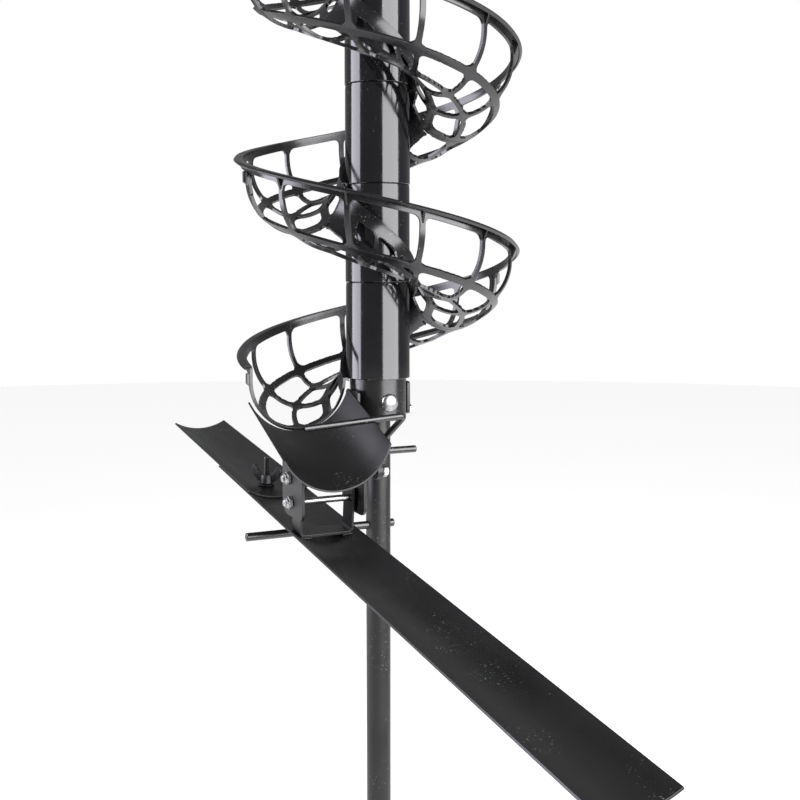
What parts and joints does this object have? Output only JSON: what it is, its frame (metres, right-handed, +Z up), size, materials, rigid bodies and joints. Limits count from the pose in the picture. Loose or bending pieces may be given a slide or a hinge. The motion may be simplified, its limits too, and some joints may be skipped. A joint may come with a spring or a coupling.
{
  "type": "baseball pitching machine",
  "caption": "Gravity-fed ball drop machine: a spiral rack of half-turn track modules on a mast feeds a trough and a see-saw drop rail, on a tripod stand.",
  "frame": {"origin": "on the floor, on the mast's axis", "axes": "+Z up the mast; the drop rail runs downhill towards -Y; the trough is on the -X side"},
  "size_m": [0.932, 0.8808, 1.8881],
  "materials": {
    "satin_black_paint": "satin black powder coat",
    "gloss_black_plastic": "glossy injection-moulded black plastic",
    "bright_zinc": "bright zinc-plated steel",
    "black_rubber": "matte moulded rubber",
    "black_nylon": "satin black nylon",
    "black_casting": "black painted casting"
  },
  "bodies": {
    "stand": {"base_hub": "black_casting", "leg_1": "satin_black_paint", "leg_2": "satin_black_paint", "leg_3": "satin_black_paint", "foot_1": "black_rubber", "foot_2": "black_rubber", "foot_3": "black_rubber", "leg_screw_1": "bright_zinc", "leg_screw_2": "bright_zinc", "leg_screw_3": "bright_zinc", "lower_tube": "satin_black_paint", "height_clamp": "black_casting"},
    "clamp_knob": {"clamp_knob": "black_nylon"},
    "mast": {"pole": "satin_black_paint", "pole_plug": "black_casting", "support_tube": "satin_black_paint", "track_module_1": "gloss_black_plastic", "track_module_2": "gloss_black_plastic", "track_module_3": "gloss_black_plastic", "track_module_4": "gloss_black_plastic", "track_module_5": "gloss_black_plastic", "track_module_6": "gloss_black_plastic", "rack_cap": "gloss_black_plastic", "collar_bolt": "bright_zinc", "collar_nut": "bright_zinc", "side_pad": "satin_black_paint", "side_bolt": "bright_zinc", "side_nut": "bright_zinc", "trough_bracket": "satin_black_paint", "drop_trough": "satin_black_paint", "ear_left": "satin_black_paint", "ear_right": "satin_black_paint", "pivot_bolt": "bright_zinc", "pivot_nut": "bright_zinc", "gate_bolt": "bright_zinc", "gate_nut": "bright_zinc", "stop_rod": "satin_black_paint"},
    "gate": {"gate_lever": "satin_black_paint", "gate_rod": "satin_black_paint", "gate_stub": "satin_black_paint"},
    "rail": {"drop_rail": "satin_black_paint", "clevis": "satin_black_paint", "pivot_washer_left": "black_nylon", "pivot_washer_right": "black_nylon"},
    "counter_trough": {"counter_trough": "satin_black_paint", "counter_stud": "bright_zinc", "counter_washer": "bright_zinc"},
    "wing_nut": {"wing_nut": "black_nylon"}
  },
  "joints": [
    {"name": "height_slide", "type": "slide", "parent": "stand", "child": "mast", "axis": [0, 0, 1], "range_m": [-0.15, 0.15]},
    {"name": "clamp_knob_turn", "type": "hinge", "parent": "stand", "child": "clamp_knob", "pos_m": [0.03, 0, 0.73125], "axis": [1, 0, 0], "range_deg": [0, 360]},
    {"name": "rail_tilt", "type": "hinge", "parent": "mast", "child": "rail", "pos_m": [-0.072, -0.049, 1.2633], "axis": [1, 0, 0], "range_deg": [0, 12]},
    {"name": "gate_swing", "type": "hinge", "parent": "mast", "child": "gate", "pos_m": [-0.072, -0.045, 1.2833], "axis": [1, 0, 0], "range_deg": [0, 12]},
    {"name": "counter_slide", "type": "slide", "parent": "rail", "child": "counter_trough", "axis": [0, 0.9945, 0.1045], "range_m": [-0.03, 0.03]},
    {"name": "wing_nut_turn", "type": "hinge", "parent": "counter_trough", "child": "wing_nut", "pos_m": [-0.072, 0.10426, 1.2593], "axis": [0, -0.1045, 0.9945], "continuous": true}
  ],
  "couplings": [
    {"joint": "gate_swing", "follows": "rail_tilt", "ratio": 1}
  ]
}
